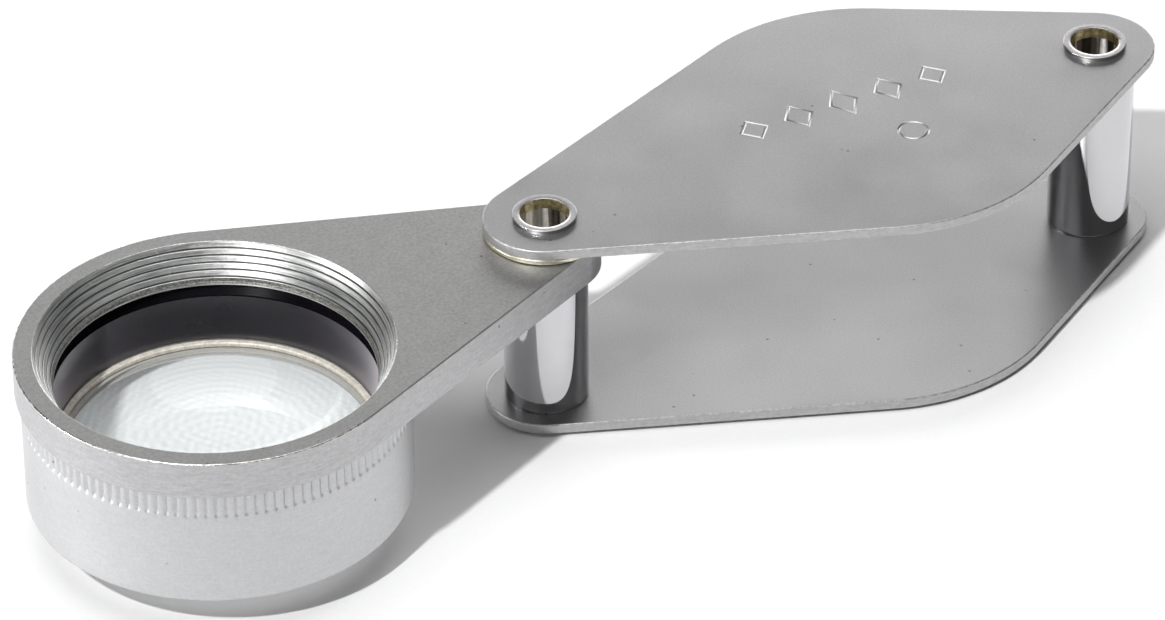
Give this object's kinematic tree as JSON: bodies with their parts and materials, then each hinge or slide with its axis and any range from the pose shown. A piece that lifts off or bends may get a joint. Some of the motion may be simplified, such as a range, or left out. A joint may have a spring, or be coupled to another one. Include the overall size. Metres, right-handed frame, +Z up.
{
  "type": "folding pocket loupe",
  "caption": "Folding pocket loupe: rhombic cover plates on tubular posts, with a swing-out lens arm, a ribbed funnel mouth and a knurled screw-on lens barrel.",
  "frame": {"origin": "on the pivot post's axis, level with the underside of the bottom cover", "axes": "+Z up along the pivot axis, +X from the pivot post towards the end post"},
  "size_m": [0.0997, 0.0324, 0.0181],
  "materials": {
    "cover_satin": "satin nickel plate with a fine even grain",
    "rivet_nickel": "polished nickel plate, warm inside the bore",
    "sleeve_chrome": "mirror-polished chrome",
    "washer_brass": "pale rolled brass",
    "arm_satin": "satin, with turned rings in the funnel",
    "baffle_black": "satin black lacquer",
    "barrel_satin": "pearl satin with fine knurling",
    "ring_bright": "bright spring wire",
    "lens_glass": "clear polished glass"
  },
  "bodies": {
    "case": {"bottom_cover": "cover_satin", "top_cover": "cover_satin", "pivot_rivet": "rivet_nickel", "pivot_sleeve": "sleeve_chrome", "end_rivet": "rivet_nickel", "end_sleeve": "sleeve_chrome", "friction_washer": "washer_brass", "thin_washer": "washer_brass"},
    "arm": {"lens_arm": "arm_satin", "baffle_tube": "baffle_black"},
    "lens_cell": {"lens": "lens_glass", "lens_ring": "ring_bright"},
    "barrel": {"lens_barrel": "barrel_satin"}
  },
  "joints": [
    {"name": "arm_swing", "type": "hinge", "parent": "case", "child": "arm", "pos_m": [0, 0, 0.0145], "axis": [0, 0, 1], "continuous": true},
    {"name": "barrel_travel", "type": "slide", "parent": "arm", "child": "lens_cell", "axis": [0, 0, -1], "range_m": [0, 0.002]},
    {"name": "barrel_turn", "type": "hinge", "parent": "lens_cell", "child": "barrel", "pos_m": [-0.02917, -0.00122, 0.008], "axis": [0, 0, -1], "range_deg": [0, 1440]}
  ],
  "couplings": [
    {"joint": "barrel_travel", "follows": "barrel_turn", "m_per_rad": 0.000079577}
  ]
}
